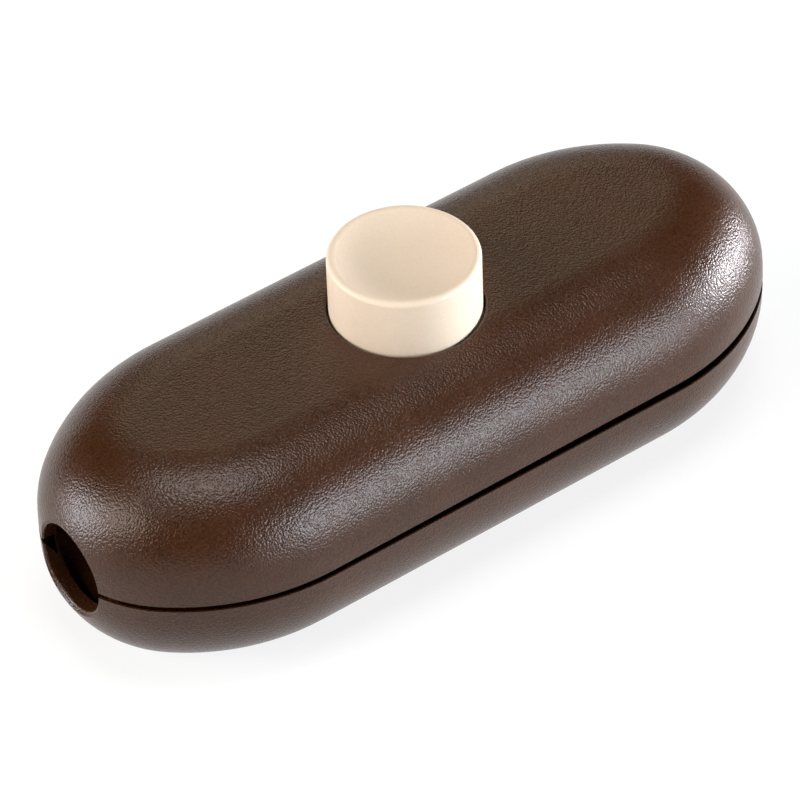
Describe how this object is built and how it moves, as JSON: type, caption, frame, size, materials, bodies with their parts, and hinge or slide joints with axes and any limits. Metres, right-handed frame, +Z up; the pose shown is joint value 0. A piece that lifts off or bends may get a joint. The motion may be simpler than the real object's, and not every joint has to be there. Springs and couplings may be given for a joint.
{
  "type": "inline cord switch",
  "caption": "Pill-shaped inline cord switch in two brown moulded shells, with a round dished cream push button on top, a cord entry at each end and a ratchet contact mechanism inside.",
  "frame": {"origin": "middle of the flat underside, at the centre of the bounding box's base", "axes": "+Z up, out of the push button's top; +X along the cord, from one entry to the other; +Y across the case"},
  "size_m": [0.075, 0.03, 0.0271],
  "materials": {
    "case_plastic": "dark brown satin moulding with a fine spark-eroded grain",
    "button_plastic": "cream, smooth and softly glossy",
    "rotor_plastic": "natural white acetal, satin",
    "base_plastic": "pale insulating moulding, matt",
    "clamp_plastic": "black moulding, matt",
    "brass": "plain machined brass",
    "contact_silver": "silver contact rivets",
    "spring_steel": "bright drawn steel",
    "plated_steel": "zinc plated steel"
  },
  "bodies": {
    "housing": {"upper_shell": "case_plastic", "lower_shell": "case_plastic", "switch_base": "base_plastic", "pivot_pin": "spring_steel", "detent_spring": "spring_steel", "supply_terminal": "brass", "load_terminal": "brass", "neutral_connector": "brass", "earth_connector": "brass", "fixed_contacts": "contact_silver", "terminal_screws": "plated_steel", "clamp_bar_left": "clamp_plastic", "clamp_bar_right": "clamp_plastic", "clamp_screws": "plated_steel", "case_screws": "plated_steel"},
    "button": {"push_button": "button_plastic", "return_spring": "spring_steel"},
    "rotor": {"ratchet_rotor": "rotor_plastic", "contact_star": "brass", "moving_contacts": "contact_silver"}
  },
  "joints": [
    {"name": "button_press", "type": "slide", "parent": "housing", "child": "button", "axis": [0, 0, -1], "range_m": [0, 0.0035], "stiffness_N_per_m": 1400, "springref_m": -0.002, "deforming": ["return_spring"]},
    {"name": "rotor_turn", "type": "hinge", "parent": "housing", "child": "rotor", "pos_m": [0, 0, 0.0075], "axis": [0, 0, 1], "range_deg": [0, 45]}
  ],
  "couplings": [
    {"joint": "rotor_turn", "follows": "button_press", "rad_per_m": 224.39}
  ]
}
